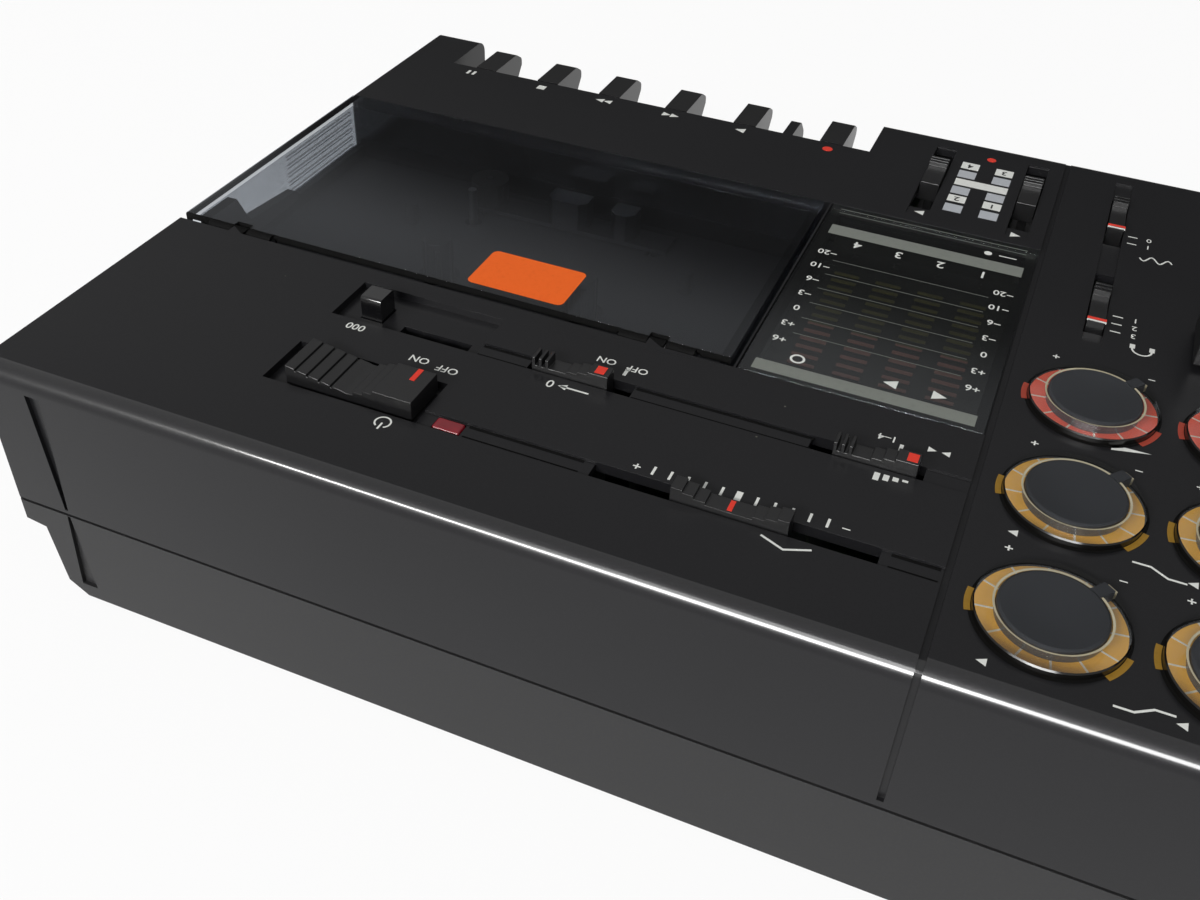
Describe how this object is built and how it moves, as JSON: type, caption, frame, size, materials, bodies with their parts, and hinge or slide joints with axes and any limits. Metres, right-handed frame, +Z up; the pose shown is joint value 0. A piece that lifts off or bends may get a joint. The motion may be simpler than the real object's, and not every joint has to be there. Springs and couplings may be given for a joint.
{
  "type": "four-track cassette recorder",
  "caption": "Desktop cassette recorder with a mixer of rotary knobs and faders beside a tape deck under a hinged clear lid, with lever keys, sliders, meter window and tape counter.",
  "frame": {"origin": "on the floor under the middle of the case", "axes": "+X to the user's right, +Y to the rear, +Z up"},
  "size_m": [0.412, 0.212, 0.082],
  "materials": {
    "case_plastic": "fine matte texture, moulded",
    "black_plastic": "smooth satin",
    "rubber": "matt rubber",
    "steel": "plain steel",
    "deck_metal": "dark paint",
    "smoked_clear": "smoked clear acrylic, polished",
    "board": "circuit board with parts",
    "red_lens": "clear red lens",
    "brass": "turned brass"
  },
  "bodies": {
    "chassis": {"upper_case": "case_plastic", "lower_case": "case_plastic", "rubber_feet": "rubber", "case_screws": "steel", "meter_window": "smoked_clear", "circuit_boards": "board", "power_lamp": "red_lens", "deck_plate": "deck_metal", "transport_frame": "steel", "drive_belt": "rubber", "pivot_pins": "steel", "sockets": "black_plastic"},
    "lid": {"cassette_lid": "smoked_clear"},
    "record_key": {"record_key": "black_plastic"},
    "play_key": {"play_key": "black_plastic"},
    "rewind_key": {"rewind_key": "black_plastic"},
    "forward_key": {"forward_key": "black_plastic"},
    "stop_key": {"stop_key": "black_plastic"},
    "pause_key": {"pause_key": "black_plastic"},
    "reset_button": {"reset_button": "black_plastic"},
    "pitch_slider": {"pitch_slider": "black_plastic"},
    "meter_slider": {"meter_slider": "black_plastic"},
    "zero_slider": {"zero_slider": "black_plastic"},
    "power_slider": {"power_slider": "black_plastic"},
    "monitor_slider": {"monitor_slider": "black_plastic"},
    "noise_slider": {"noise_slider": "black_plastic"},
    "record_left_slider": {"record_left_slider": "black_plastic"},
    "record_right_slider": {"record_right_slider": "black_plastic"},
    "master_fader": {"master_fader": "black_plastic"},
    "fader_1": {"fader_1": "black_plastic"},
    "fader_2": {"fader_2": "black_plastic"},
    "fader_3": {"fader_3": "black_plastic"},
    "fader_4": {"fader_4": "black_plastic"},
    "takeup_spindle": {"takeup_spindle": "black_plastic"},
    "supply_spindle": {"supply_spindle": "black_plastic"},
    "capstan": {"capstan": "steel"},
    "motor_pulley": {"motor_pulley": "brass"},
    "head_bridge": {"head_bridge": "steel"},
    "pinch_roller": {"pinch_roller": "rubber"},
    "counter_hundreds": {"counter_hundreds": "black_plastic"},
    "counter_tens": {"counter_tens": "black_plastic"},
    "counter_units": {"counter_units": "black_plastic"},
    "high_knob_1": {"high_knob_1": "black_plastic"},
    "high_knob_2": {"high_knob_2": "black_plastic"},
    "high_knob_3": {"high_knob_3": "black_plastic"},
    "high_knob_4": {"high_knob_4": "black_plastic"},
    "high_knob_5": {"high_knob_5": "black_plastic"},
    "high_knob_6": {"high_knob_6": "black_plastic"},
    "low_knob_1": {"low_knob_1": "black_plastic"},
    "low_knob_2": {"low_knob_2": "black_plastic"},
    "low_knob_3": {"low_knob_3": "black_plastic"},
    "low_knob_4": {"low_knob_4": "black_plastic"},
    "low_knob_5": {"low_knob_5": "black_plastic"},
    "low_knob_6": {"low_knob_6": "black_plastic"},
    "level_knob_1": {"level_knob_1": "black_plastic"},
    "level_knob_2": {"level_knob_2": "black_plastic"},
    "level_knob_3": {"level_knob_3": "black_plastic"},
    "level_knob_4": {"level_knob_4": "black_plastic"},
    "level_knob_5": {"level_knob_5": "black_plastic"},
    "level_knob_6": {"level_knob_6": "black_plastic"}
  },
  "joints": [
    {"name": "lid_hinge", "type": "hinge", "parent": "chassis", "child": "lid", "pos_m": [0.075, 0.0326, 0.066], "axis": [-1, 0, 0], "range_deg": [0, 75]},
    {"name": "record_press", "type": "hinge", "parent": "chassis", "child": "record_key", "pos_m": [0.0652, -0.058, 0.058], "axis": [1, 0, 0], "range_deg": [0, 7], "stiffness_Nm_per_rad": 0.6, "springref_deg": -1.72},
    {"name": "play_press", "type": "hinge", "parent": "chassis", "child": "play_key", "pos_m": [0.092, -0.058, 0.058], "axis": [1, 0, 0], "range_deg": [0, 7], "stiffness_Nm_per_rad": 0.6, "springref_deg": -1.72},
    {"name": "rewind_press", "type": "hinge", "parent": "chassis", "child": "rewind_key", "pos_m": [0.114, -0.058, 0.058], "axis": [1, 0, 0], "range_deg": [0, 7], "stiffness_Nm_per_rad": 0.6, "springref_deg": -1.72},
    {"name": "forward_press", "type": "hinge", "parent": "chassis", "child": "forward_key", "pos_m": [0.136, -0.058, 0.058], "axis": [1, 0, 0], "range_deg": [0, 7], "stiffness_Nm_per_rad": 0.6, "springref_deg": -1.72},
    {"name": "stop_press", "type": "hinge", "parent": "chassis", "child": "stop_key", "pos_m": [0.157, -0.058, 0.058], "axis": [1, 0, 0], "range_deg": [0, 7], "stiffness_Nm_per_rad": 0.6, "springref_deg": -1.72},
    {"name": "pause_press", "type": "hinge", "parent": "chassis", "child": "pause_key", "pos_m": [0.1785, -0.058, 0.058], "axis": [1, 0, 0], "range_deg": [0, 7], "stiffness_Nm_per_rad": 0.6, "springref_deg": -1.72},
    {"name": "reset_press", "type": "slide", "parent": "chassis", "child": "reset_button", "axis": [0, 0, -1], "range_m": [0, 0.0025], "stiffness_N_per_m": 300, "springref_m": -0.0005},
    {"name": "pitch_slide", "type": "slide", "parent": "chassis", "child": "pitch_slider", "axis": [1, 0, 0], "range_m": [-0.016, 0.016]},
    {"name": "meter_slide", "type": "slide", "parent": "chassis", "child": "meter_slider", "axis": [1, 0, 0], "range_m": [0, 0.0037]},
    {"name": "zero_slide", "type": "slide", "parent": "chassis", "child": "zero_slider", "axis": [1, 0, 0], "range_m": [-0.0037, 0]},
    {"name": "power_slide", "type": "slide", "parent": "chassis", "child": "power_slider", "axis": [1, 0, 0], "range_m": [0, 0.004]},
    {"name": "monitor_slide", "type": "slide", "parent": "chassis", "child": "monitor_slider", "axis": [0, 1, 0], "range_m": [-0.0072, 0]},
    {"name": "noise_slide", "type": "slide", "parent": "chassis", "child": "noise_slider", "axis": [0, 1, 0], "range_m": [0, 0.0038]},
    {"name": "record_left_slide", "type": "slide", "parent": "chassis", "child": "record_left_slider", "axis": [0, 1, 0], "range_m": [-0.0106, 0.0106]},
    {"name": "record_right_slide", "type": "slide", "parent": "chassis", "child": "record_right_slider", "axis": [0, 1, 0], "range_m": [-0.0106, 0.0106]},
    {"name": "master_slide", "type": "slide", "parent": "chassis", "child": "master_fader", "axis": [0, 1, 0], "range_m": [-0.06, 0]},
    {"name": "fader_1_slide", "type": "slide", "parent": "chassis", "child": "fader_1", "axis": [0, 1, 0], "range_m": [0, 0.06]},
    {"name": "fader_2_slide", "type": "slide", "parent": "chassis", "child": "fader_2", "axis": [0, 1, 0], "range_m": [0, 0.06]},
    {"name": "fader_3_slide", "type": "slide", "parent": "chassis", "child": "fader_3", "axis": [0, 1, 0], "range_m": [0, 0.06]},
    {"name": "fader_4_slide", "type": "slide", "parent": "chassis", "child": "fader_4", "axis": [0, 1, 0], "range_m": [0, 0.06]},
    {"name": "takeup_spin", "type": "hinge", "parent": "chassis", "child": "takeup_spindle", "pos_m": [0.14925, 0.002, 0.048], "axis": [0, 0, 1], "continuous": true},
    {"name": "supply_spin", "type": "hinge", "parent": "chassis", "child": "supply_spindle", "pos_m": [0.10675, 0.002, 0.048], "axis": [0, 0, 1], "continuous": true},
    {"name": "capstan_spin", "type": "hinge", "parent": "chassis", "child": "capstan", "pos_m": [0.154, -0.0276, 0.048], "axis": [0, 0, 1], "continuous": true},
    {"name": "motor_spin", "type": "hinge", "parent": "chassis", "child": "motor_pulley", "pos_m": [0.092, -0.0196, 0.015], "axis": [0, 0, 1], "continuous": true},
    {"name": "bridge_slide", "type": "slide", "parent": "chassis", "child": "head_bridge", "axis": [0, 1, 0], "range_m": [0, 0.004]},
    {"name": "pinch_spin", "type": "hinge", "parent": "head_bridge", "child": "pinch_roller", "pos_m": [0.154, -0.03865, 0.048], "axis": [0, 0, 1], "continuous": true},
    {"name": "counter_hundreds_spin", "type": "hinge", "parent": "chassis", "child": "counter_hundreds", "pos_m": [0.1162, 0.0531, 0.0589], "axis": [1, 0, 0], "continuous": true},
    {"name": "counter_tens_spin", "type": "hinge", "parent": "chassis", "child": "counter_tens", "pos_m": [0.1217, 0.0531, 0.0589], "axis": [1, 0, 0], "continuous": true},
    {"name": "counter_units_spin", "type": "hinge", "parent": "chassis", "child": "counter_units", "pos_m": [0.1272, 0.0531, 0.0589], "axis": [1, 0, 0], "continuous": true},
    {"name": "high_knob_1_turn", "type": "hinge", "parent": "chassis", "child": "high_knob_1", "pos_m": [-0.1847, 0.084, 0.068], "axis": [0, 0, -1], "range_deg": [0, 300]},
    {"name": "high_knob_2_turn", "type": "hinge", "parent": "chassis", "child": "high_knob_2", "pos_m": [-0.1517, 0.084, 0.068], "axis": [0, 0, -1], "range_deg": [0, 300]},
    {"name": "high_knob_3_turn", "type": "hinge", "parent": "chassis", "child": "high_knob_3", "pos_m": [-0.1187, 0.084, 0.068], "axis": [0, 0, -1], "range_deg": [0, 300]},
    {"name": "high_knob_4_turn", "type": "hinge", "parent": "chassis", "child": "high_knob_4", "pos_m": [-0.0857, 0.084, 0.068], "axis": [0, 0, -1], "range_deg": [0, 300]},
    {"name": "high_knob_5_turn", "type": "hinge", "parent": "chassis", "child": "high_knob_5", "pos_m": [-0.0527, 0.084, 0.068], "axis": [0, 0, -1], "range_deg": [0, 300]},
    {"name": "high_knob_6_turn", "type": "hinge", "parent": "chassis", "child": "high_knob_6", "pos_m": [-0.0197, 0.084, 0.068], "axis": [0, 0, -1], "range_deg": [0, 300]},
    {"name": "low_knob_1_turn", "type": "hinge", "parent": "chassis", "child": "low_knob_1", "pos_m": [-0.1847, 0.0493, 0.068], "axis": [0, 0, -1], "range_deg": [0, 300]},
    {"name": "low_knob_2_turn", "type": "hinge", "parent": "chassis", "child": "low_knob_2", "pos_m": [-0.1517, 0.0493, 0.068], "axis": [0, 0, -1], "range_deg": [0, 300]},
    {"name": "low_knob_3_turn", "type": "hinge", "parent": "chassis", "child": "low_knob_3", "pos_m": [-0.1187, 0.0493, 0.068], "axis": [0, 0, -1], "range_deg": [0, 300]},
    {"name": "low_knob_4_turn", "type": "hinge", "parent": "chassis", "child": "low_knob_4", "pos_m": [-0.0857, 0.0493, 0.068], "axis": [0, 0, -1], "range_deg": [0, 300]},
    {"name": "low_knob_5_turn", "type": "hinge", "parent": "chassis", "child": "low_knob_5", "pos_m": [-0.0527, 0.0493, 0.068], "axis": [0, 0, -1], "range_deg": [0, 300]},
    {"name": "low_knob_6_turn", "type": "hinge", "parent": "chassis", "child": "low_knob_6", "pos_m": [-0.0197, 0.0493, 0.068], "axis": [0, 0, -1], "range_deg": [0, 300]},
    {"name": "level_knob_1_turn", "type": "hinge", "parent": "chassis", "child": "level_knob_1", "pos_m": [-0.1847, 0.0146, 0.068], "axis": [0, 0, -1], "range_deg": [0, 300]},
    {"name": "level_knob_2_turn", "type": "hinge", "parent": "chassis", "child": "level_knob_2", "pos_m": [-0.1517, 0.0146, 0.068], "axis": [0, 0, -1], "range_deg": [0, 300]},
    {"name": "level_knob_3_turn", "type": "hinge", "parent": "chassis", "child": "level_knob_3", "pos_m": [-0.1187, 0.0146, 0.068], "axis": [0, 0, -1], "range_deg": [0, 300]},
    {"name": "level_knob_4_turn", "type": "hinge", "parent": "chassis", "child": "level_knob_4", "pos_m": [-0.0857, 0.0146, 0.068], "axis": [0, 0, -1], "range_deg": [0, 300]},
    {"name": "level_knob_5_turn", "type": "hinge", "parent": "chassis", "child": "level_knob_5", "pos_m": [-0.0527, 0.0146, 0.068], "axis": [0, 0, -1], "range_deg": [0, 300]},
    {"name": "level_knob_6_turn", "type": "hinge", "parent": "chassis", "child": "level_knob_6", "pos_m": [-0.0197, 0.0146, 0.068], "axis": [0, 0, -1], "range_deg": [0, 300]}
  ],
  "couplings": [
    {"joint": "motor_spin", "follows": "capstan_spin", "ratio": 6},
    {"joint": "play_press", "follows": "bridge_slide", "rad_per_m": 30.54},
    {"joint": "counter_hundreds_spin", "follows": "takeup_spin", "ratio": 0.0005},
    {"joint": "counter_tens_spin", "follows": "takeup_spin", "ratio": 0.005},
    {"joint": "counter_units_spin", "follows": "takeup_spin", "ratio": 0.05}
  ]
}
